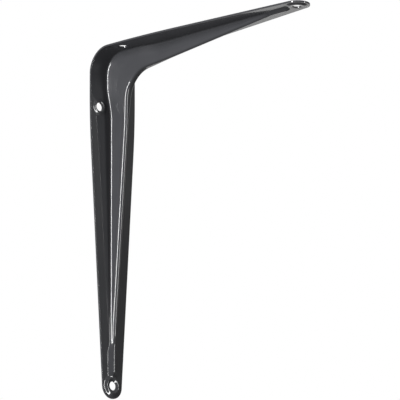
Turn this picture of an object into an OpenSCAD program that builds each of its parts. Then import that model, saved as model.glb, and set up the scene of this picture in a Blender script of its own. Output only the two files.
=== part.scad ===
// Shelf bracket pressed from one piece of sheet steel.
// X runs out from the wall, Y across the bracket, Z up. The back of the wall arm lies on x = 0, the
// top of the shelf arm on z = 0, and the rib stands in the plane y = 0. Sizes in millimetres.

/* [Arms] */
// Length of the wall arm, from the shelf face to the end of its tip
wall_arm = 200; // [140:1:320]
// Length of the shelf arm, from the wall face to the end of its tip
shelf_arm = 153; // [120:1:260]
// Width of both arms at the corner
corner_w = 35; // [30:0.2:46]
// Width of both arms at their round tips
tip_w = 14.6; // [14:0.2:18]
// Distance from the corner at which the arms start to narrow
taper_start = 41; // [34:1:60]
// Radius that eases the start of the taper
shoulder_r = 500; // [100:10:600]

/* [Sheet] */
// Thickness of the sheet
sheet_t = 1; // [0.8:0.05:1.2]
// Outside radius of the bend between the arms
bend_r = 14; // [10:0.5:18]

/* [Rib] */
// Outside width of the rib along the arms
rib_w = 3; // [2.9:0.1:5]
// Height of the crest over the wall arm, beside the corner
rib_h_wall = 11.8; // [8:0.1:14]
// Height of the crest over the shelf arm, beside the corner
rib_h_shelf = 10.6; // [8:0.1:14]
// Radius between the rib's sides and the arms, on the front
root_r = 1; // [0.6:0.1:1.5]
// Radius of the crest round the inside of the corner
crest_bend_r = 17; // [14:0.5:24]

/* [Knuckle] */
// Outside width of the rib's foot where it swells round the corner
knuckle_w = 9.6; // [6:0.2:12]
// Outside width of the rib's crest round the corner
knuckle_crest_w = 4.2; // [3.6:0.1:5]
// Distance from the corner at which the swelling dies out on the wall arm
knuckle_wall = 38; // [34:1:48]
// Distance from the corner at which the swelling dies out on the shelf arm
knuckle_shelf = 42; // [34:1:48]

/* [Run-out] */
// Length of the low bead in which the rib ends before each pad
bead_len = 13.5; // [8:0.5:18]
// Outside width of the rib's foot along that bead
bead_w = 6.4; // [5:0.2:6.6]
// Height of the bead over the arms
bead_h = 1.7; // [1.2:0.1:2]

/* [Holes] */
// Diameter of the four screw holes
hole_d = 5; // [3.5:0.1:5.5]
// Diameter of the countersinks of the tip holes
sink_d = 8.2; // [7:0.1:8.6]
// Depth of those countersinks
sink_depth = 0.5; // [0.2:0.05:0.6]
// Diameter of the raised conical pads round the tip holes, at their foot
pad_d = 12.8; // [12:0.1:13]
// Diameter of those pads at their top
pad_top_d = 8.8; // [8.7:0.1:9.4]
// Height of the pads over the arms
pad_h = 0.7; // [0.65:0.05:0.8]
// Diameter of the raised rims round the corner holes, at their foot
rim_d = 8.8; // [8:0.1:9.4]
// Height of the rims over the arms
rim_h = 0.4; // [0.2:0.05:0.5]
// Distance of the corner holes from the middle of the bracket
hole_side = 10.5; // [10:0.1:12]
// Distance of the wall arm's corner hole from the shelf face
hole_wall = 32.6; // [26:0.2:44]
// Distance of the shelf arm's corner hole from the wall face
hole_shelf = 19.8; // [19:0.2:44]

/* [Hidden] */

// Finish: black stoving enamel
black = [0.03, 0.03, 0.03];

// Facets of a full circle, and of the rib's small arcs
round_fn = 96;
crest_steps = 5;
root_steps = 4;
shoulder_steps = 6;
tip_steps = 16;
// Stations of the rib at a bead's end, along a bead, its flare, an arm, the swelling and the corner
sink_steps = 5;
bead_steps = 2;
flare_steps = 6;
arm_steps = 8;
swell_steps = 12;
fan_steps = 22;

// How far cutting bodies pass the faces that they cut
over = 1;
// How far the rib's skirts dip under a face, so that the surfaces cross and do not just touch
dip = 0.05;
// Half of the narrow flat left along the rounded crest, and least height of the straight sides
crest_flat = 0.1;
side_min = 0.2;
// How fast a rim's outside widens towards its foot, and how much its mouth opens on each side
rim_spread = 4;
rim_mouth = 0.5;
// Length over which the foot, and the crest, of the rib swell to the knuckle
foot_swell = 19;
crest_swell = 16;
// Length over which the rib's foot widens to the bead
bead_flare = 16;
// How far the bead goes into the pad, how far below the pad's top it ends, and the length of its fall
pad_bite = 2;
bead_below = 0.2;
bead_sink = 4;
// Distance from the corner at which the rib has its named heights
crest_ref = 42;
// Directions of the first and last station round the corner, and of the middle of the corner
fan_from = 176;
fan_to = 94;
fan_mid = 135;

tip_r = tip_w / 2;
wall_tip = wall_arm - tip_r;
shelf_tip = shelf_arm - tip_r;

// The rib's crest falls in a straight line from the corner to a low bead, which ends in the tip's pad
crest_r = rib_w / 2 - crest_flat;
wall_pad = wall_tip - pad_d / 2;
shelf_pad = shelf_tip - pad_d / 2;
wall_bead = wall_pad - bead_len;
shelf_bead = shelf_pad - bead_len;
wall_slope = (rib_h_wall - bead_h) / (wall_bead - crest_ref);
shelf_slope = (rib_h_shelf - bead_h) / (shelf_bead - crest_ref);
wall_fall = atan(wall_slope);
shelf_fall = atan(shelf_slope);

// Middle [x, z] of the crest's arc, which touches both straight crest lines from the inside
wall_gap = (sheet_t + rib_h_wall + wall_slope * crest_ref) * cos(wall_fall) + crest_bend_r;
shelf_gap = (sheet_t + rib_h_shelf + shelf_slope * crest_ref) * cos(shelf_fall) + crest_bend_r;
spread = cos(wall_fall + shelf_fall);
fan = [
    (wall_gap * cos(shelf_fall) - shelf_gap * sin(wall_fall)) / spread,
    (wall_gap * sin(shelf_fall) - shelf_gap * cos(wall_fall)) / spread
];

// Eases from 0 to 1 without corners
function ease(u) = let (v = min(max(u, 0), 1)) v * v * (3 - 2 * v);

// Width that swells from the arm to the knuckle, at a distance from the corner
function swell(arm, knuckle, s, stop, run) = knuckle + (arm - knuckle) * ease((s - stop + run) / run);

// Foot and crest half-widths of the rib at a distance from the corner
function foot(s, stop) = swell(rib_w, knuckle_w, s, stop, foot_swell) / 2;
function crown(s, stop) = swell(rib_w, knuckle_crest_w, s, stop + crest_swell / 2, crest_swell) / 2;

// How much wider the foot is on each side as the rib runs out to a bead
function flare(s, bead) = (bead_w - rib_w) / 2 * ease((s - bead + bead_flare) / bead_flare);

// Height of the crest, which falls to the bead and, at the bead's end, into the pad
function rise(s, slope, pad, bead) =
    let (
        high = bead_h + slope * max(bead - s, 0),
        sunk = ease((s - pad - pad_bite + bead_sink) / bead_sink)
    )
    high + (pad_h - bead_below - high) * sunk;

// Distance from the fan's middle to the crest along a direction
function crest_reach(a) =
    a > 180 - wall_fall ? crest_bend_r / cos(a - 180 + wall_fall)
    : a < 90 + shelf_fall ? crest_bend_r / cos(90 + shelf_fall - a)
    : crest_bend_r;

// Distance from the fan's middle to the sheet's face at a depth under the outside, along a direction
function face_reach(a, depth) =
    let (
        dir = [cos(a), sin(a)],
        wall = (fan[0] - depth) / max(-dir[0], 0.001),
        shelf = (-depth - fan[1]) / max(dir[1], 0.001),
        from_bend = fan - [bend_r, -bend_r],
        along = from_bend * dir,
        bend = sqrt(along * along - from_bend * from_bend + pow(bend_r - depth, 2)) - along
    )
    fan[1] + wall * dir[1] <= -bend_r ? wall
    : fan[0] + shelf * dir[0] >= bend_r ? shelf
    : bend;

// A station of the rib: front point, back point, direction to the crest, height from each point to
// the outside of the crest (less the sheet for the back), half-widths of foot and crest
function wall_station(s) =
    let (
        h = rise(s, wall_slope, wall_pad, wall_bead),
        root = foot(s, knuckle_wall) + flare(s, wall_bead)
    )
    [[sheet_t, -s], [0, -s], [1, 0], h, h, root, crown(s, knuckle_wall)];

function shelf_station(s) =
    let (
        h = rise(s, shelf_slope, shelf_pad, shelf_bead),
        root = foot(s, knuckle_shelf) + flare(s, shelf_bead)
    )
    [[s, -sheet_t], [s, 0], [0, -1], h, h, root, crown(s, knuckle_shelf)];

function fan_station(a) =
    let (
        dir = [cos(a), sin(a)],
        crest = crest_reach(a),
        front = face_reach(a, sheet_t),
        back = face_reach(a, 0),
        spot = fan + front * dir,
        stop = a > fan_mid ? knuckle_wall : knuckle_shelf,
        s = a > fan_mid ? -spot[1] : spot[0]
    )
    [spot, fan + back * dir, -dir, front - crest, back - crest - sheet_t, foot(s, stop), crown(s, stop)];

// Evenly spread values, ends included
function spread_over(from, to, steps) = [for (i = [0:steps]) from + (to - from) * i / steps];

// A list without its first value
function rest(list) = [for (i = [1:len(list) - 1]) list[i]];

// All stations, from the end of the wall arm's rib to the end of the shelf arm's rib
knuckle_end = max(knuckle_wall, knuckle_shelf) + crest_swell / 2 + 1;
function arm_places(pad, bead, near) = concat(
    spread_over(near, knuckle_end, swell_steps),
    rest(spread_over(knuckle_end, bead - bead_flare, arm_steps)),
    rest(spread_over(bead - bead_flare, bead, flare_steps)),
    rest(spread_over(bead, pad + pad_bite - bead_sink, bead_steps)),
    rest(spread_over(pad + pad_bite - bead_sink, pad + pad_bite, sink_steps))
);
wall_places = arm_places(wall_pad, wall_bead, -fan[1]);
stations = concat(
    [for (i = [len(wall_places) - 1:-1:0]) wall_station(wall_places[i])],
    [for (a = spread_over(fan_from, fan_to, fan_steps)) fan_station(a)],
    [for (s = arm_places(shelf_pad, shelf_bead, fan[0])) shelf_station(s)]
);

// Right half of a hat section as [y, height]: rounded crest, straight side, rounded root.
// A low hat keeps its widths and is pressed flat.
function half_hat(root, crest, high, top_r, foot_r) =
    let (
        full = max(high, top_r + foot_r + side_min),
        lean = atan2(root - crest, full),
        turn = 90 - lean,
        top_y = crest - top_r * tan(turn / 2),
        foot_y = root + foot_r * tan(turn / 2),
        squash = (high + dip) / (full + dip)
    )
    concat(
        [for (i = [0:crest_steps])
            let (f = turn * i / crest_steps)
            [top_y + top_r * sin(f), (full + dip - top_r + top_r * cos(f)) * squash - dip]],
        [for (i = [root_steps:-1:0])
            let (f = turn * i / root_steps)
            [foot_y - foot_r * sin(f), (foot_r - foot_r * cos(f)) * squash - dip]]
    );

// Whole hat, left to right, closed below the skirts
function hat(half, below) =
    let (n = len(half), edge = half[n - 1][0])
    concat(
        [[-edge, -below]],
        [for (i = [n - 1:-1:0]) [-half[i][0], half[i][1]]],
        half,
        [[edge, -below]]
    );

// Section of the rib's outside, and of the hollow that lies one sheet thickness inside it
function outer_section(st) = hat(half_hat(st[5], st[6], st[3], crest_r, root_r), sheet_t / 2);

function inner_section(st) =
    let (
        lean = atan2(st[5] - st[6], max(st[4], 1)),
        inset = sheet_t * (1 - sin(lean)) / cos(lean)
    )
    hat(half_hat(st[5] - inset, st[6] - inset, st[4], crest_r - sheet_t, root_r + sheet_t), over);

// Section laid out in space at a station
function place(spot, dir, section) =
    [for (p = section) [spot[0] + dir[0] * p[1], p[0], spot[1] + dir[1] * p[1]]];

// Triangles over a strip between the point pairs a, b and c, d
function strip_faces(a, b, c, d) = [[a, c, d], [a, d, b]];

// Solid skinned over a list of like sections, each symmetrical left to right
module skin(rings) {
    n = len(rings[0]);
    m = len(rings);
    end = (m - 1) * n;
    sides = [
        for (i = [0:m - 2])
            for (j = [0:n - 1])
                let (k = (j + 1) % n)
                each strip_faces(i * n + j, i * n + k, (i + 1) * n + j, (i + 1) * n + k)
    ];
    caps = [
        for (j = [0:n / 2 - 2])
            let (k = n - 1 - j)
            each concat(
                strip_faces(j, k, j + 1, k - 1),
                strip_faces(end + k, end + j, end + k - 1, end + j + 1)
            )
    ];
    polyhedron(points = [for (ring = rings) each ring], faces = concat(sides, caps));
}

module rib_outside() {
    skin([for (st = stations) place(st[0], st[2], outer_section(st))]);
}

module rib_hollow() {
    skin([for (st = stations) place(st[1], st[2], inner_section(st))]);
}

// Solid corner under both arms' faces, at a depth below the outside
module corner_block(depth) {
    long = wall_arm + shelf_arm;
    translate([bend_r, 0, -bend_r])
        rotate([90, 0, 0])
            cylinder(r = bend_r - depth, h = corner_w + 2 * over, center = true, $fn = round_fn);
    translate([bend_r, -corner_w / 2 - over, -long])
        cube([long, corner_w + 2 * over, long - depth]);
    translate([depth, -corner_w / 2 - over, -long])
        cube([long, corner_w + 2 * over, long - bend_r]);
}

// Half outline of an arm as [across, along]: straight, eased into a taper, and round the tip to its end
function arm_edge(tip) =
    let (
        half = corner_w / 2,
        far = norm([half, tip - taper_start]),
        taper = asin(half / far) - asin(tip_r / far),
        start = taper_start - shoulder_r * tan(taper / 2)
    )
    concat(
        [[half, -over]],
        [for (i = [0:shoulder_steps])
            let (f = taper * i / shoulder_steps)
            [half - shoulder_r * (1 - cos(f)), start + shoulder_r * sin(f)]],
        [for (i = [0:tip_steps - 1])
            let (f = taper + (90 - taper) * i / tip_steps)
            [tip_r * cos(f), tip + tip_r * sin(f)]]
    );

// Flat shape of an arm with its round tip, thick enough to cut it from the bent strip
module arm_blank(tip, thick) {
    edge = arm_edge(tip);
    n = len(edge);
    linear_extrude(height = thick)
        polygon(concat(edge, [[0, tip + tip_r]], [for (i = [n - 1:-1:0]) [-edge[i][0], edge[i][1]]]));
}

// The bent strip in its outline, without the rib
module strip() {
    intersection() {
        difference() {
            corner_block(0);
            corner_block(sheet_t);
        }
        translate([-over, 0, 0])
            rotate([-90, 0, -90])
                mirror([0, 0, 1])
                    translate([0, 0, -shelf_arm - 2 * over])
                        arm_blank(wall_tip, shelf_arm + 2 * over);
        translate([0, 0, -wall_arm - over])
            rotate([0, 0, -90])
                arm_blank(shelf_tip, wall_arm + 2 * over);
    }
}

// Cone along +Z that widens evenly; it starts below a face and is as wide as named where it meets it
module cone_from(level, below, wide, widen, high) {
    translate([0, 0, level - below])
        cylinder(d1 = wide - widen * below, d2 = wide + widen * high, h = below + high, $fn = round_fn);
}

// Screw hole along +Z with a widened mouth at the height of the front
module screw_hole(front, mouth, depth) {
    translate([0, 0, -over])
        cylinder(d = hole_d, h = front + 2 * over, $fn = round_fn);
    cone_from(front - depth, 0, hole_d, (mouth - hole_d) / depth, depth + over);
}

// Raised pad of a tip: the outside on the front, and the hollow behind it one sheet thickness inside
pad_widen = (pad_d - pad_top_d) / pad_h;
pad_tilt = atan(2 / pad_widen);

module pad_outside() {
    cone_from(sheet_t, 2 * dip, pad_d, -pad_widen, pad_h);
}

module pad_hollow() {
    cone_from(0, over, pad_d - 2 * sheet_t * tan(pad_tilt / 2), -pad_widen, pad_h);
}

// Raised rim of a corner hole, on the front only
module rim_outside() {
    cone_from(sheet_t, sheet_t / 2, rim_d, -rim_spread, rim_h);
}

module tip_hole() {
    pad_hollow();
    screw_hole(sheet_t + pad_h, sink_d, sink_depth);
}

module corner_hole() {
    screw_hole(sheet_t + rim_h, hole_d + rim_mouth * 2, rim_h);
}

// Places a hole's axis on the wall arm or the shelf arm, starting from the back face
module on_wall(s, side) {
    translate([0, side, -s])
        rotate([0, 90, 0])
            children();
}

module on_shelf(s, side) {
    translate([s, side, 0])
        rotate([180, 0, 0])
            children();
}

module bracket() {
    color(black)
        difference() {
            union() {
                strip();
                rib_outside();
                on_wall(wall_tip, 0) pad_outside();
                on_wall(hole_wall, -hole_side) rim_outside();
                on_shelf(shelf_tip, 0) pad_outside();
                on_shelf(hole_shelf, -hole_side) rim_outside();
            }
            rib_hollow();
            on_wall(wall_tip, 0) tip_hole();
            on_wall(hole_wall, -hole_side) corner_hole();
            on_shelf(shelf_tip, 0) tip_hole();
            on_shelf(hole_shelf, -hole_side) corner_hole();
        }
}

bracket();
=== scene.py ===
"""Looks of a pressed-steel shelf bracket in gloss black enamel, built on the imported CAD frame.

The bracket is one sheet: a grid laid over both arms is pressed to the ribbed form, backed at the sheet's
thickness, closed along its edge, rounded and drilled. Lengths are in metres, in the frame of the part.
"""

import logging
import math
from dataclasses import dataclass, field
from enum import Enum

import bpy
from mathutils import Matrix, Vector


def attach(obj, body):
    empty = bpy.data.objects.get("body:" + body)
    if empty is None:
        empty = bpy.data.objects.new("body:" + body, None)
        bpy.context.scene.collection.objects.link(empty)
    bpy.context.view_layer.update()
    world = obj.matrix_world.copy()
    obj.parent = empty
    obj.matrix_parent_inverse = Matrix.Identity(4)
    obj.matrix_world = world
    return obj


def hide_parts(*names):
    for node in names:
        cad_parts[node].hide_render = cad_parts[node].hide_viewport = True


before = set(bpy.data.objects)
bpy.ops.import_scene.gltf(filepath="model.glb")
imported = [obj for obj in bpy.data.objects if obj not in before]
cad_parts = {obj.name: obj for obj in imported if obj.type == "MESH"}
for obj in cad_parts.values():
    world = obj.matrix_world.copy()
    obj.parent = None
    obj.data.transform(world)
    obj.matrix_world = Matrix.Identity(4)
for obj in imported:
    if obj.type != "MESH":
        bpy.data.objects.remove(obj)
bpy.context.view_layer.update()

logging.basicConfig(level=logging.INFO, format="%(message)s")
log = logging.getLogger("bracket")

MM = 0.001
TINY = 1e-6

# Sockets of a mix node that mixes colours.
MIX_FIRST = 6
MIX_SECOND = 7
MIX_RESULT = 2


class Arm(Enum):
    """The stretch of the sheet that a row of the grid lies on."""

    WALL = "wall arm"
    BEND = "bend"
    SHELF = "shelf arm"


class Side(Enum):
    """The two faces of the sheet."""

    FRONT = "front"
    BACK = "back"


def ease(u: float) -> float:
    """Rises from 0 to 1 without corners.

    Args:
        u: position, 0 at the start and 1 at the end.

    Returns:
        The eased value.
    """
    v = min(max(u, 0.0), 1.0)
    return v * v * (3.0 - 2.0 * v)


def soft_ramp(x: float, blur: float) -> float:
    """Zero below the origin, x above it, with a rounded corner.

    Args:
        x: position.
        blur: half-length of the rounding.

    Returns:
        The ramp's value.
    """
    if abs(x) >= blur:
        return max(x, 0.0)
    return (x + blur) ** 2 / (4.0 * blur)


def spread_over(start: float, stop: float, steps: int) -> list[float]:
    """Evenly spread values.

    Args:
        start: first value.
        stop: last value.
        steps: number of intervals.

    Returns:
        The values, ends included.
    """
    return [start + (stop - start) * i / steps for i in range(steps + 1)]


@dataclass(frozen=True)
class Sizes:
    """Driving dimensions of the bracket. Names that end in _r are radii, in _d diameters, in _w widths."""

    # The sheet and its outline. The arms and the corner stay a hair inside the CAD box.
    wall_arm: float = 199.97 * MM
    shelf_arm: float = 152.94 * MM
    corner_w: float = 34.96 * MM
    tip_w: float = 14.6 * MM
    taper_start: float = 41.0 * MM
    shoulder_r: float = 500.0 * MM
    sheet_t: float = 1.0 * MM
    bend_r: float = 14.0 * MM
    edge_r: float = 0.05 * MM

    # The rib along the arms. Its height is given at crest_ref from the corner. The two least values keep the
    # angles of the section sound where the rib is low.
    rib_w: float = 3.0 * MM
    rib_h_wall: float = 11.8 * MM
    rib_h_shelf: float = 10.6 * MM
    crest_ref: float = 42.0 * MM
    root_r: float = 1.0 * MM
    crest_r: float = 1.4 * MM
    crest_bend_r: float = 17.0 * MM
    least_side: float = 0.2 * MM
    least_rise: float = 1.0 * MM

    # The knuckle: how wide it is, how far it goes along the arms and how long it takes to die out.
    knuckle_w: float = 9.6 * MM
    knuckle_crest_w: float = 4.2 * MM
    knuckle_wall: float = 38.0 * MM
    knuckle_shelf: float = 42.0 * MM
    foot_swell: float = 19.0 * MM
    crest_swell: float = 16.0 * MM

    # The low bead that the rib runs out to before each tip. It ends bead_below under the top of the pad.
    bead_len: float = 12.5 * MM
    bead_w: float = 7.0 * MM
    bead_crest_w: float = 1.2 * MM
    bead_h_wall: float = 1.85 * MM
    bead_h_shelf: float = 1.6 * MM
    bead_flare: float = 7.0 * MM
    bead_thin: float = 18.0 * MM
    bead_flat_wall: float = 17.5 * MM
    bead_flat_shelf: float = 13.5 * MM
    bead_blur: float = 3.0 * MM
    bead_below: float = 0.2 * MM
    bead_sink: float = 4.0 * MM
    bead_end: float = 1.5 * MM

    # All four screw holes.
    hole_d: float = 5.0 * MM

    # The tip holes, countersunk in raised pads.
    sink_d: float = 8.2 * MM
    sink_depth_wall: float = 0.5 * MM
    sink_depth_shelf: float = 0.15 * MM
    sink_blur: float = 0.25 * MM
    pad_d: float = 12.8 * MM
    pad_top_d: float = 8.8 * MM
    pad_h: float = 0.7 * MM
    pad_bite: float = 2.0 * MM
    pad_foot_blur: float = 0.45 * MM
    pad_top_blur: float = 0.35 * MM

    # The corner holes, with raised rims and rounded mouths.
    hole_side: float = 10.5 * MM
    hole_wall: float = 32.6 * MM
    hole_shelf: float = 19.8 * MM
    rim_d: float = 8.8 * MM
    rim_h_wall: float = 0.4 * MM
    rim_h_shelf: float = 0.08 * MM
    rim_foot: float = 0.55 * MM
    rim_run: float = 1.7 * MM
    mouth_w: float = 0.45 * MM
    mouth_blur: float = 0.2 * MM
    mouth_slope: float = 0.8

    @property
    def tip_r(self) -> float:
        """Radius of the round tips."""
        return self.tip_w / 2.0

    @property
    def wall_tip(self) -> float:
        """Distance of the wall arm's tip hole from the corner."""
        return self.wall_arm - self.tip_r

    @property
    def shelf_tip(self) -> float:
        """Distance of the shelf arm's tip hole from the corner."""
        return self.shelf_arm - self.tip_r


@dataclass
class Row:
    """One row of the grid: a section across the sheet.

    front and back are the flats of the two faces in the middle plane, and up points out of the front. rise is
    the rib's height over each flat. foot, crown and half are half-widths of the rib's foot, its crest and the
    sheet. lap says how far the row goes round the tip.
    """

    arm: Arm
    along: float
    front: Vector
    back: Vector
    up: Vector
    rise: dict[Side, float]
    foot: float
    crown: float
    half: float
    lap: float = 0.0


@dataclass
class Rib:
    """Path and section of the hollow rib."""

    size: Sizes
    crest_steps: int = 7
    side_steps: int = 5
    root_steps: int = 6

    def __post_init__(self) -> None:
        """Works out the crest lines and the middle of the crest's arc."""
        z = self.size
        self.wall_pad = z.wall_tip - z.pad_d / 2.0
        self.shelf_pad = z.shelf_tip - z.pad_d / 2.0
        wall_run = self.wall_pad - z.bead_flat_wall - z.crest_ref
        shelf_run = self.shelf_pad - z.bead_flat_shelf - z.crest_ref
        self.wall_slope = (z.rib_h_wall - z.bead_h_wall) / wall_run
        self.shelf_slope = (z.rib_h_shelf - z.bead_h_shelf) / shelf_run
        self.wall_fall = math.atan(self.wall_slope)
        self.shelf_fall = math.atan(self.shelf_slope)
        a, b = self.wall_fall, self.shelf_fall
        wall = (z.sheet_t + z.rib_h_wall + self.wall_slope * z.crest_ref) * math.cos(a) + z.crest_bend_r
        shelf = (z.sheet_t + z.rib_h_shelf + self.shelf_slope * z.crest_ref) * math.cos(b) + z.crest_bend_r
        self.middle = Vector((
            (wall * math.cos(b) - shelf * math.sin(a)) / math.cos(a + b),
            (wall * math.sin(b) - shelf * math.cos(a)) / math.cos(a + b),
        ))

    def rise(self, arm: Arm, along: float) -> float:
        """Height of the crest over the straight part of an arm.

        Args:
            arm: stretch of the sheet.
            along: distance from the corner.

        Returns:
            The height, which falls to a low bead and dies out inside the tip's pad.
        """
        z = self.size
        if arm is Arm.WALL:
            low, flat, slope, pad = z.bead_h_wall, z.bead_flat_wall, self.wall_slope, self.wall_pad
        else:
            low, flat, slope, pad = z.bead_h_shelf, z.bead_flat_shelf, self.shelf_slope, self.shelf_pad
        high = low + slope * soft_ramp(pad - flat - along, z.bead_blur)
        past = along - pad - z.pad_bite
        high += (z.pad_h - z.bead_below - high) * ease(past / z.bead_sink + 1.0)
        return high * (1.0 - ease(past / z.bead_end))

    def crest_reach(self, toward: Vector) -> float:
        """Distance from the arc's middle to the crest.

        Args:
            toward: unit direction from the middle to the sheet.

        Returns:
            The distance.
        """
        turn = math.atan2(toward.y, toward.x)
        wall, shelf = math.pi - self.wall_fall, math.pi / 2.0 + self.shelf_fall
        off = turn - min(max(turn, shelf), wall)
        return self.size.crest_bend_r / math.cos(off)

    def swell(self, arm: float, knuckle: float, along: float, stop: float, run: float) -> float:
        """Half-width that swells from the arm to the knuckle.

        Args:
            arm: width along the arm.
            knuckle: width round the corner.
            along: distance from the corner.
            stop: distance at which the swelling has died out.
            run: length of the change.

        Returns:
            The half-width.
        """
        return (knuckle + (arm - knuckle) * ease((along - stop + run) / run)) / 2.0

    def widths(self, arm: Arm, along: float) -> tuple[float, float]:
        """Half-widths of the rib's foot and crest.

        Args:
            arm: stretch of the sheet.
            along: distance from the corner.

        Returns:
            Foot and crest half-widths.
        """
        z = self.size
        stop = z.knuckle_wall if arm is Arm.WALL else z.knuckle_shelf
        foot = self.swell(z.rib_w, z.knuckle_w, along, stop, z.foot_swell)
        crown = self.swell(z.rib_w, z.knuckle_crest_w, along, stop + z.crest_swell / 2.0, z.crest_swell)
        pad = self.wall_pad if arm is Arm.WALL else self.shelf_pad
        past = along - pad + z.bead_len
        foot += (z.bead_w - z.rib_w) / 2.0 * ease(past / z.bead_flare + 1.0)
        crown -= (z.rib_w - z.bead_crest_w) / 2.0 * ease(past / z.bead_thin + 1.0)
        return foot, crown

    def half_section(
        self, root: float, crest: float, high: float, top_r: float, foot_r: float
    ) -> list[tuple[float, float]]:
        """Right half of the hat section, from the crest to the flat of the arm.

        Args:
            root: half-width at the foot.
            crest: half-width at the crest.
            high: height of the crest.
            top_r: rounding of the crest.
            foot_r: rounding of the root.

        Returns:
            Points as (across, height).
        """
        full = max(high, top_r + foot_r + self.size.least_side)
        turn = math.pi / 2.0 - math.atan2(root - crest, full)
        top_y = crest - top_r * math.tan(turn / 2.0)
        foot_y = root + foot_r * math.tan(turn / 2.0)
        squash = high / full
        top = [
            (top_y + top_r * math.sin(f), (full - top_r + top_r * math.cos(f)) * squash)
            for f in spread_over(0.0, turn, self.crest_steps)
        ]
        bottom = [
            (foot_y - foot_r * math.sin(f), (foot_r - foot_r * math.cos(f)) * squash)
            for f in spread_over(turn, 0.0, self.root_steps)
        ]
        start, end = top[-1], bottom[0]
        side = [
            (start[0] + (end[0] - start[0]) * u, start[1] + (end[1] - start[1]) * u)
            for u in spread_over(0.0, 1.0, self.side_steps)[1:-1]
        ]
        return top + side + bottom

    def section(self, row: Row, side: Side) -> list[tuple[float, float]]:
        """Whole hat section of a row, left to right.

        Args:
            row: the grid row.
            side: face of the sheet.

        Returns:
            Points as (across, height over that face's flat).
        """
        z = self.size
        if side is Side.FRONT:
            half = self.half_section(row.foot, row.crown, row.rise[side], z.crest_r, z.root_r)
        else:
            lean = math.atan2(row.foot - row.crown, max(row.rise[side], z.least_rise))
            inset = z.sheet_t * (1.0 - math.sin(lean)) / math.cos(lean)
            foot, crown = row.foot - inset, row.crown - inset
            top_r, foot_r = z.crest_r - z.sheet_t, z.root_r + z.sheet_t
            half = self.half_section(foot, crown, row.rise[side], top_r, foot_r)
        return [(-y, h) for y, h in reversed(half)] + half


@dataclass
class Outline:
    """Plan outline of an arm."""

    size: Sizes
    tip: float

    def half_width(self, along: float) -> float:
        """Half-width of the arm.

        Args:
            along: distance from the corner, up to the tip hole.

        Returns:
            The half-width.
        """
        z = self.size
        half = z.corner_w / 2.0
        far = math.hypot(half, self.tip - z.taper_start)
        taper = math.asin(half / far) - math.asin(z.tip_r / far)
        ease_in = z.shoulder_r * math.tan(taper / 2.0)
        start = z.taper_start - ease_in
        if along <= start:
            return half
        if along >= z.taper_start + ease_in * math.cos(taper):
            return half - (along - z.taper_start) * math.tan(taper)
        return half - z.shoulder_r + math.sqrt(z.shoulder_r**2 - (along - start) ** 2)


@dataclass
class Holes:
    """Raised pads, raised rims and mouths of the screw holes, as heights over the front or back flat."""

    size: Sizes

    def pad(self, radius: float, side: Side) -> float:
        """Height of a tip's raised pad.

        Args:
            radius: distance from the hole's axis.
            side: face of the sheet.

        Returns:
            The height.
        """
        z = self.size
        slope = 2.0 * z.pad_h / (z.pad_d - z.pad_top_d)
        inset = 0.0 if side is Side.FRONT else z.sheet_t * math.tan(math.atan(slope) / 2.0)
        foot = soft_ramp(z.pad_d / 2.0 - inset - radius, z.pad_foot_blur)
        return slope * (foot - soft_ramp(z.pad_top_d / 2.0 - inset - radius, z.pad_top_blur))

    def sink(self, radius: float, arm: Arm) -> float:
        """Depth of a tip hole's countersink.

        Args:
            radius: distance from the hole's axis.
            arm: the arm the hole is in.

        Returns:
            The depth.
        """
        z = self.size
        depth = z.sink_depth_wall if arm is Arm.WALL else z.sink_depth_shelf
        slope = 2.0 * depth / (z.sink_d - z.hole_d)
        return slope * soft_ramp(z.sink_d / 2.0 - radius, z.sink_blur)

    def rim(self, radius: float, arm: Arm) -> float:
        """Height of a corner hole's raised rim.

        Args:
            radius: distance from the hole's axis.
            arm: the arm the hole is in.

        Returns:
            The height.
        """
        z = self.size
        top = z.rim_h_wall if arm is Arm.WALL else z.rim_h_shelf
        rise = top * ease((z.rim_d / 2.0 + z.rim_foot - radius) / z.rim_run)
        return rise - z.mouth_slope * soft_ramp(z.hole_d / 2.0 + z.mouth_w - radius, z.mouth_blur)


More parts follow.
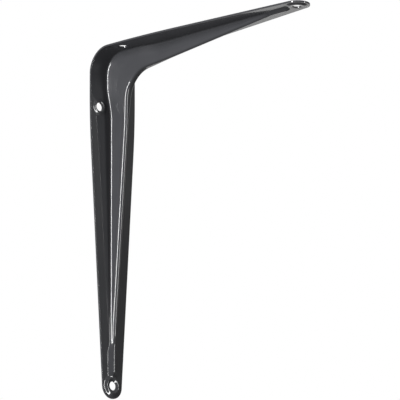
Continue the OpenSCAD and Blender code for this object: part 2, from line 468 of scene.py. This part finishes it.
@dataclass
class Sheet:
    """The bracket: one pressed sheet, with the spacing of its grid and the shape of its drills."""

    size: Sizes = field(default_factory=Sizes)
    name: str = "pressed_sheet"

    # Rows: the last ones round a tip, then even steps round it, then zones along the arm.
    end_laps: tuple[float, ...] = (1.0, 0.955)
    even_lap: float = 0.91
    lap_steps: int = 20
    tip_zone: float = 9.0 * MM
    tip_steps: int = 28
    bead_zone: float = 34.0 * MM
    bead_steps: int = 26
    arm_steps: int = 30
    knuckle_zone: float = 46.0 * MM
    knuckle_steps: int = 70
    bend_steps: int = 30

    # Columns on each side of the rib, the last of them a narrow margin along the edge.
    flat_steps: int = 30
    edge_margin: float = 0.34 * MM

    # A pad and the bead blend as a sum of powers.
    blend_power: int = 6

    # Drilling and smoothing.
    drill_sides: int = 72
    drill_len: float = 8.0 * MM
    edge_segments: int = 3
    smooth_angle: float = math.radians(38.0)

    def __post_init__(self) -> None:
        """Prepares the rib, the outlines and the holes."""
        self.rib = Rib(self.size)
        self.holes = Holes(self.size)
        self.outlines = {
            Arm.WALL: Outline(self.size, self.size.wall_tip),
            Arm.SHELF: Outline(self.size, self.size.shelf_tip),
        }

    def row_at(self, arm: Arm, along: float, lap: float = 0.0) -> Row:
        """Section of the sheet at a place on an arm or in the bend.

        Args:
            arm: stretch of the sheet.
            along: distance from the corner on an arm, or the angle from the wall arm in the bend.
            lap: how far the row goes round the tip, 0 at the tip hole and 1 at the end.

        Returns:
            The row.
        """
        z, middle = self.size, self.rib.middle
        if arm is Arm.BEND:
            out = Vector((-math.cos(along), math.sin(along)))
            front = Vector((z.bend_r, -z.bend_r)) + out * (z.bend_r - z.sheet_t)
        else:
            front = Vector((z.sheet_t, -along)) if arm is Arm.WALL else Vector((along, -z.sheet_t))
        straight = {Arm.WALL: -front.y >= -middle.y, Arm.SHELF: front.x >= middle.x, Arm.BEND: False}[arm]
        if straight:
            up = Vector((1.0, 0.0)) if arm is Arm.WALL else Vector((0.0, -1.0))
            back = front - up * z.sheet_t
            high = self.rib.rise(arm, along)
            rise = {Side.FRONT: high, Side.BACK: high}
        else:
            up = (middle - front).normalized()
            crest = self.rib.crest_reach(-up)
            back = self.back_point(front, -up)
            rise = {
                Side.FRONT: (front - middle).length - crest,
                Side.BACK: (back - middle).length - crest - z.sheet_t,
            }
        flat = 0.0 if arm is Arm.BEND else along
        foot, crown = self.rib.widths(Arm.WALL if -front.y > front.x else Arm.SHELF, flat)
        half = z.corner_w / 2.0 if arm is Arm.BEND else self.outlines[arm].half_width(along)
        return Row(arm, along, front, back, up, rise, foot, crown, half, lap)

    def back_point(self, front: Vector, toward: Vector) -> Vector:
        """Point of the back face on the line from the rib's middle through a front point.

        Args:
            front: the front point.
            toward: unit direction away from the rib's middle.

        Returns:
            The back point.
        """
        r = self.size.bend_r
        wall = front + toward * (-front.x / min(toward.x, -TINY))
        if wall.y <= -r:
            return wall
        shelf = front + toward * (-front.y / max(toward.y, TINY))
        if shelf.x >= r:
            return shelf
        off = front - Vector((r, -r))
        along = off.dot(toward)
        return front + toward * (math.sqrt(along * along - off.dot(off) + r * r) - along)

    def arm_rows(self, arm: Arm, tip: float) -> list[Row]:
        """Rows of one arm, from the end of its tip to the bend.

        Args:
            arm: the arm.
            tip: distance of its tip hole from the corner.

        Returns:
            The rows.
        """
        laps = [*self.end_laps, *spread_over(self.even_lap, 0.0, self.lap_steps)[:-1]]
        bead, thin, near = tip - self.tip_zone, tip - self.bead_zone, self.knuckle_zone
        places = (
            spread_over(tip, bead, self.tip_steps)
            + spread_over(bead, thin, self.bead_steps)[1:]
            + spread_over(thin, near, self.arm_steps)[1:]
            + spread_over(near, self.size.bend_r, self.knuckle_steps)[1:]
        )
        return [self.row_at(arm, tip, lap) for lap in laps] + [self.row_at(arm, p) for p in places]

    def rows(self) -> list[Row]:
        """All rows of the grid, from the wall arm's tip round the bend to the shelf arm's tip.

        Returns:
            The rows.
        """
        turns = spread_over(0.0, math.pi / 2.0, self.bend_steps)[1:-1]
        bend = [self.row_at(Arm.BEND, turn) for turn in turns]
        wall = self.arm_rows(Arm.WALL, self.size.wall_tip)
        shelf = self.arm_rows(Arm.SHELF, self.size.shelf_tip)
        return wall + bend + shelf[::-1]

    def columns(self, row: Row, side: Side) -> list[tuple[float, float]]:
        """Points across a row before the holes are formed.

        Args:
            row: the grid row.
            side: face of the sheet.

        Returns:
            Points as (across, height).
        """
        hat = self.rib.section(row, side)
        inner = hat[-1][0]
        flat = spread_over(inner, row.half - self.edge_margin, self.flat_steps)[1:] + [row.half]
        return [(-y, 0.0) for y in reversed(flat)] + hat + [(y, 0.0) for y in flat]

    def height(self, row: Row, along: float, across: float, high: float, side: Side) -> float:
        """Height of the sheet with the formed holes added.

        Args:
            row: the grid row.
            along: distance from the corner.
            across: distance from the middle of the bracket.
            high: height of the rib there.
            side: face of the sheet.

        Returns:
            The height over that face's flat.
        """
        z = self.size
        if row.arm is Arm.BEND:
            return high
        tip = z.wall_tip if row.arm is Arm.WALL else z.shelf_tip
        from_tip = math.hypot(along - tip, across)
        pad = self.holes.pad(from_tip, side)
        if pad > 0.0:
            n = self.blend_power
            high = (pad**n + high**n) ** (1.0 / n) if high > 0.0 else pad
            if side is Side.FRONT:
                high -= self.holes.sink(from_tip, row.arm)
        corner = z.hole_wall if row.arm is Arm.WALL else z.hole_shelf
        from_corner = math.hypot(along - corner, across + z.hole_side)
        if side is Side.FRONT and from_corner < z.rim_d:
            high += self.holes.rim(from_corner, row.arm)
        return high

    def point(self, row: Row, across: float, high: float, side: Side) -> Vector:
        """Place of a grid point in space.

        Args:
            row: the grid row.
            across: distance from the middle of the bracket, before it goes round the tip.
            high: height of the rib there.
            side: face of the sheet.

        Returns:
            The point.
        """
        base = row.front if side is Side.FRONT else row.back
        share = across / row.half
        shift = row.half * row.lap * math.sqrt(1.0 - share * share / 2.0)
        across *= math.sqrt(1.0 - row.lap * row.lap / 2.0)
        along = row.along + shift
        high = self.height(row, along, across, high, side)
        onward = {
            Arm.WALL: Vector((0.0, -1.0)),
            Arm.BEND: Vector((0.0, 0.0)),
            Arm.SHELF: Vector((1.0, 0.0)),
        }[row.arm]
        spot = base + row.up * high + onward * shift
        return Vector((spot.x, across, spot.y))

    def lay_face(self, rows: list[Row], side: Side) -> bpy.types.Object:
        """Lays a grid over one face of the sheet and presses it to form.

        Args:
            rows: the grid rows.
            side: face of the sheet.

        Returns:
            The pressed face.
        """
        sections = [self.columns(row, side) for row in rows]
        across = len(sections[0])
        bpy.ops.object.select_all(action="DESELECT")
        bpy.ops.mesh.primitive_grid_add(x_subdivisions=across - 1, y_subdivisions=len(rows) - 1, size=1.0)
        face = bpy.context.active_object
        face.name = f"{self.name}_{side.value}"
        for i, (row, section) in enumerate(zip(rows, sections)):
            for j, (y, high) in enumerate(section):
                face.data.vertices[i * across + j].co = self.point(row, y, high, side)
        log.info("%s: %d rows of %d points", face.name, len(rows), across)
        return face

    def cutter(self) -> bpy.types.Object:
        """Cylinders that drill the four screw holes.

        Returns:
            One object with the four cylinders.
        """
        z = self.size
        places = [
            (Vector((0.0, 0.0, -z.wall_tip)), Arm.WALL),
            (Vector((0.0, -z.hole_side, -z.hole_wall)), Arm.WALL),
            (Vector((z.shelf_tip, 0.0, 0.0)), Arm.SHELF),
            (Vector((z.hole_shelf, -z.hole_side, 0.0)), Arm.SHELF),
        ]
        drills = []
        for spot, arm in places:
            turn = (0.0, math.pi / 2.0, 0.0) if arm is Arm.WALL else (0.0, 0.0, 0.0)
            bpy.ops.object.select_all(action="DESELECT")
            bpy.ops.mesh.primitive_cylinder_add(
                vertices=self.drill_sides,
                radius=z.hole_d / 2.0,
                depth=self.drill_len,
                location=spot,
                rotation=turn,
            )
            drills.append(bpy.context.active_object)
        for drill in drills:
            drill.select_set(True)
        bpy.ops.object.join()
        bpy.ops.object.transform_apply(location=True, rotation=True, scale=True)
        return bpy.context.active_object

    def pick(self, pieces: list[bpy.types.Object]) -> None:
        """Selects objects and makes the first one active.

        Args:
            pieces: the objects.
        """
        bpy.ops.object.select_all(action="DESELECT")
        for piece in pieces:
            piece.select_set(True)
        bpy.context.view_layer.objects.active = pieces[0]

    def close_edge(self) -> None:
        """Closes the edge between the two faces of the active object and rounds it."""
        bpy.ops.object.mode_set(mode="EDIT")
        bpy.ops.mesh.select_mode(type="EDGE")
        bpy.ops.mesh.select_all(action="DESELECT")
        bpy.ops.mesh.select_non_manifold()
        bpy.ops.mesh.bridge_edge_loops()
        bpy.ops.object.vertex_group_assign_new()
        bpy.ops.mesh.select_all(action="SELECT")
        bpy.ops.mesh.normals_make_consistent(inside=False)
        bpy.ops.mesh.select_all(action="DESELECT")
        bpy.ops.object.vertex_group_select()
        bpy.ops.mesh.select_mode(type="FACE")
        bpy.ops.mesh.region_to_loop()
        bpy.ops.mesh.bevel(
            offset=self.size.edge_r, segments=self.edge_segments, affect="EDGES", clamp_overlap=False
        )
        bpy.ops.object.vertex_group_remove(all=True)
        bpy.ops.object.mode_set(mode="OBJECT")
        bpy.ops.object.transform_apply(location=True, rotation=True, scale=True)

    def drill(self, sheet: bpy.types.Object) -> None:
        """Cuts the screw holes.

        Args:
            sheet: the closed sheet.
        """
        cutter = self.cutter()
        self.pick([sheet])
        cut = sheet.modifiers.new("Boolean", "BOOLEAN")
        cut.operation = "DIFFERENCE"
        cut.object = cutter
        cut.solver = "EXACT"
        bpy.ops.object.modifier_apply(modifier=cut.name)
        bpy.data.objects.remove(cutter)

    def build(self) -> bpy.types.Object:
        """Makes the whole sheet.

        Returns:
            The finished piece.
        """
        rows = self.rows()
        self.pick([self.lay_face(rows, side) for side in Side])
        bpy.ops.object.join()
        sheet = bpy.context.active_object
        sheet.name = self.name
        self.close_edge()
        self.drill(sheet)
        self.pick([sheet])
        bpy.ops.object.shade_smooth_by_angle(angle=self.smooth_angle)
        log.info("%s: %d faces", sheet.name, len(sheet.data.polygons))
        return sheet


class Value:
    """A shader socket that takes part in sums, so that a formula reads as one."""

    def __init__(self, tree: bpy.types.NodeTree, socket: bpy.types.NodeSocket) -> None:
        """Wraps a socket.

        Args:
            tree: node tree of the socket.
            socket: an output socket.
        """
        self.tree = tree
        self.socket = socket

    def math(self, operation: str, left: "Value | float", right: "Value | float") -> "Value":
        """Adds a maths node.

        Args:
            operation: the node's operation.
            left: first input.
            right: second input.

        Returns:
            The node's output.
        """
        node = self.tree.nodes.new("ShaderNodeMath")
        node.operation = operation
        for socket, value in zip(node.inputs, (left, right)):
            if isinstance(value, Value):
                self.tree.links.new(value.socket, socket)
            else:
                socket.default_value = value
        return Value(self.tree, node.outputs[0])

    def __radd__(self, other: float) -> "Value":
        """Sum of a number and this value.

        Args:
            other: the number.

        Returns:
            The sum.
        """
        return self.math("ADD", other, self)

    def __rmul__(self, other: float) -> "Value":
        """Product of a number and this value.

        Args:
            other: the number.

        Returns:
            The product.
        """
        return self.math("MULTIPLY", other, self)


@dataclass(frozen=True)
class Enamel:
    """Gloss black stoving enamel on steel: a clear glossy skin over a duller, faintly cloudy black."""

    name: str = "gloss_black_enamel"
    dark: tuple[float, float, float] = (0.0172, 0.0175, 0.0192)
    pale: tuple[float, float, float] = (0.0212, 0.0216, 0.0236)
    rough_low: float = 0.34
    rough_span: float = 0.05
    cloud_scale: float = 90.0
    cloud_detail: float = 3.0
    cloud_rough: float = 0.5
    haze: float = 0.1
    ior: float = 1.5
    coat: float = 1.0
    gloss: float = 0.05
    peel: float = 0.05
    peel_depth: float = 0.2 * MM
    peel_scale: float = 420.0
    peel_detail: float = 2.0
    peel_rough: float = 0.45

    def node(self, tree: bpy.types.NodeTree, kind: str, **inputs: object) -> bpy.types.Node:
        """Adds a node and sets or links its inputs.

        Args:
            tree: the node tree.
            kind: node type.
            inputs: values or sockets by input name, spaces as underscores.

        Returns:
            The node.
        """
        node = tree.nodes.new(kind)
        for key, value in inputs.items():
            socket = node.inputs[key.replace("_", " ")]
            if isinstance(value, bpy.types.NodeSocket):
                tree.links.new(value, socket)
            else:
                socket.default_value = value
        return node

    def build(self) -> bpy.types.Material:
        """Makes the material.

        Returns:
            The material.
        """
        material = bpy.data.materials.new(self.name)
        material.use_nodes = True
        tree = material.node_tree
        shader = next(n for n in tree.nodes if n.type == "BSDF_PRINCIPLED")
        place = self.node(tree, "ShaderNodeTexCoord").outputs["Object"]
        cloud = self.node(
            tree,
            "ShaderNodeTexNoise",
            Vector=place,
            Scale=self.cloud_scale,
            Detail=self.cloud_detail,
            Roughness=self.cloud_rough,
        )
        peel = self.node(
            tree,
            "ShaderNodeTexNoise",
            Vector=place,
            Scale=self.peel_scale,
            Detail=self.peel_detail,
            Roughness=self.peel_rough,
        )
        tone = Value(tree, cloud.outputs[0])
        mix = tree.nodes.new("ShaderNodeMix")
        mix.data_type = "RGBA"
        tree.links.new(tone.socket, mix.inputs["Factor"])
        mix.inputs[MIX_FIRST].default_value = (*self.dark, 1.0)
        mix.inputs[MIX_SECOND].default_value = (*self.pale, 1.0)
        tree.links.new(mix.outputs[MIX_RESULT], shader.inputs["Base Color"])
        rough = self.rough_low + self.rough_span * tone
        tree.links.new(rough.socket, shader.inputs["Roughness"])
        bump = self.node(
            tree, "ShaderNodeBump", Height=peel.outputs[0], Strength=self.peel, Distance=self.peel_depth
        )
        tree.links.new(bump.outputs["Normal"], shader.inputs["Normal"])
        shader.inputs["IOR"].default_value = self.ior
        shader.inputs["Specular IOR Level"].default_value = self.haze
        shader.inputs["Coat Weight"].default_value = self.coat
        shader.inputs["Coat Roughness"].default_value = self.gloss
        tree.links.new(bump.outputs["Normal"], shader.inputs["Coat Normal"])
        return material


@dataclass(frozen=True)
class Lamp:
    """A soft rectangular lamp that looks at the bracket.

    turn goes from +X towards -Y and rise goes up, both in degrees. level is the lamp's radiance. A lamp
    that is not mirrored lights the enamel but is not seen in its gloss.
    """

    name: str
    turn: float
    rise: float
    away: float
    wide: float
    tall: float
    level: float
    mirrored: bool = True

    def build(self, target: Vector) -> bpy.types.Object:
        """Places the lamp.

        Args:
            target: point that the lamp faces.

        Returns:
            The lamp object.
        """
        turn, rise = math.radians(self.turn), math.radians(self.rise)
        toward = Vector((math.cos(turn) * math.cos(rise), -math.sin(turn) * math.cos(rise), math.sin(rise)))
        bpy.ops.object.light_add(type="AREA", location=target + toward * self.away)
        lamp = bpy.context.active_object
        lamp.name = self.name
        lamp.rotation_euler = toward.to_track_quat("Z", "Y").to_euler()
        lamp.data.shape = "RECTANGLE"
        lamp.data.size = self.wide
        lamp.data.size_y = self.tall
        lamp.data.energy = self.level * self.wide * self.tall * math.pi
        lamp.visible_camera = False
        lamp.visible_glossy = self.mirrored
        log.info("%s: radiance %.2f", self.name, self.level)
        return lamp


@dataclass
class Studio:
    """Camera, white surroundings, pale floor and soft lamps."""

    aim: Vector = field(default_factory=lambda: Vector((58.3, 12.2, -93.35)) * MM)
    pivot: Vector = field(default_factory=lambda: Vector((48.0, 0.0, -88.0)) * MM)
    eye_toward: Vector = field(default_factory=lambda: Vector((0.6856, -0.6849, -0.2468)))
    eye_away: float = 2.7416
    lens: float = 441.5
    sensor: float = 36.0
    roll: float = -0.16
    far_clip: float = 50.0
    floor_z: float = -6.0
    floor_size: float = 40.0
    floor_tone: float = 0.86
    floor_rough: float = 0.9
    ambient: float = 0.11
    lamp_target: Vector = field(default_factory=lambda: Vector((0.04, 0.0, -0.08)))
    lamps: tuple[Lamp, ...] = (
        Lamp("left_softbox", 83.0, 1.5, 1.6, 0.24, 1.1, 70.0, mirrored=False),
        Lamp("left_strip", 83.0, 1.5, 1.5, 0.225, 1.03, 64.0),
        Lamp("right_strip", -25.0, -4.0, 1.7, 0.2, 1.25, 26.0),
        Lamp("front_panel", -47.0, 32.0, 2.0, 1.6, 1.3, 0.1),
        Lamp("low_panel", -47.0, 27.0, 2.2, 1.8, 1.1, 0.08),
        Lamp("back_panel", 225.0, 34.0, 2.0, 3.4, 2.4, 0.5),
        Lamp("under_panel", 225.0, -14.0, 2.0, 1.6, 0.9, 0.75),
    )

    def camera(self) -> None:
        """Places the camera at the photograph's viewpoint."""
        eye = self.pivot + self.eye_toward * self.eye_away
        bpy.ops.object.camera_add(location=eye)
        camera = bpy.context.active_object
        look = (self.aim - eye).to_track_quat("-Z", "Y")
        tilt = Matrix.Rotation(math.radians(self.roll), 3, "Z")
        camera.rotation_euler = (look.to_matrix() @ tilt).to_euler()
        camera.data.lens = self.lens
        camera.data.sensor_width = self.sensor
        camera.data.clip_end = self.far_clip
        bpy.context.scene.camera = camera

    def world(self) -> None:
        """White to the camera and soft grey in reflections."""
        world = bpy.data.worlds.new("studio")
        bpy.context.scene.world = world
        world.use_nodes = True
        tree = world.node_tree
        path = tree.nodes.new("ShaderNodeLightPath")
        mix = tree.nodes.new("ShaderNodeMix")
        mix.data_type = "RGBA"
        mix.inputs[MIX_FIRST].default_value = (self.ambient, self.ambient, self.ambient, 1.0)
        mix.inputs[MIX_SECOND].default_value = (1.0, 1.0, 1.0, 1.0)
        background = next(n for n in tree.nodes if n.type == "BACKGROUND")
        tree.links.new(path.outputs["Is Camera Ray"], mix.inputs["Factor"])
        tree.links.new(mix.outputs[MIX_RESULT], background.inputs["Color"])

    def floor(self) -> None:
        """Lays the pale floor."""
        bpy.ops.mesh.primitive_plane_add(size=self.floor_size, location=(0.0, 0.0, self.floor_z))
        floor = bpy.context.active_object
        floor.name = "floor"
        material = bpy.data.materials.new("pale_floor")
        material.use_nodes = True
        shader = next(n for n in material.node_tree.nodes if n.type == "BSDF_PRINCIPLED")
        shader.inputs["Base Color"].default_value = (self.floor_tone, self.floor_tone, self.floor_tone, 1.0)
        shader.inputs["Roughness"].default_value = self.floor_rough
        floor.data.materials.append(material)

    def build(self) -> None:
        """Sets up the whole studio."""
        self.world()
        self.floor()
        for lamp in self.lamps:
            lamp.build(self.lamp_target)
        self.camera()
        bpy.context.scene.view_settings.view_transform = "Standard"


def main() -> None:
    """Builds the bracket and its studio."""
    sheet = Sheet().build()
    sheet.data.materials.clear()
    sheet.data.materials.append(Enamel().build())
    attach(sheet, "root")
    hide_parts("bracket")
    Studio().build()


if __name__ == "__main__":
    main()
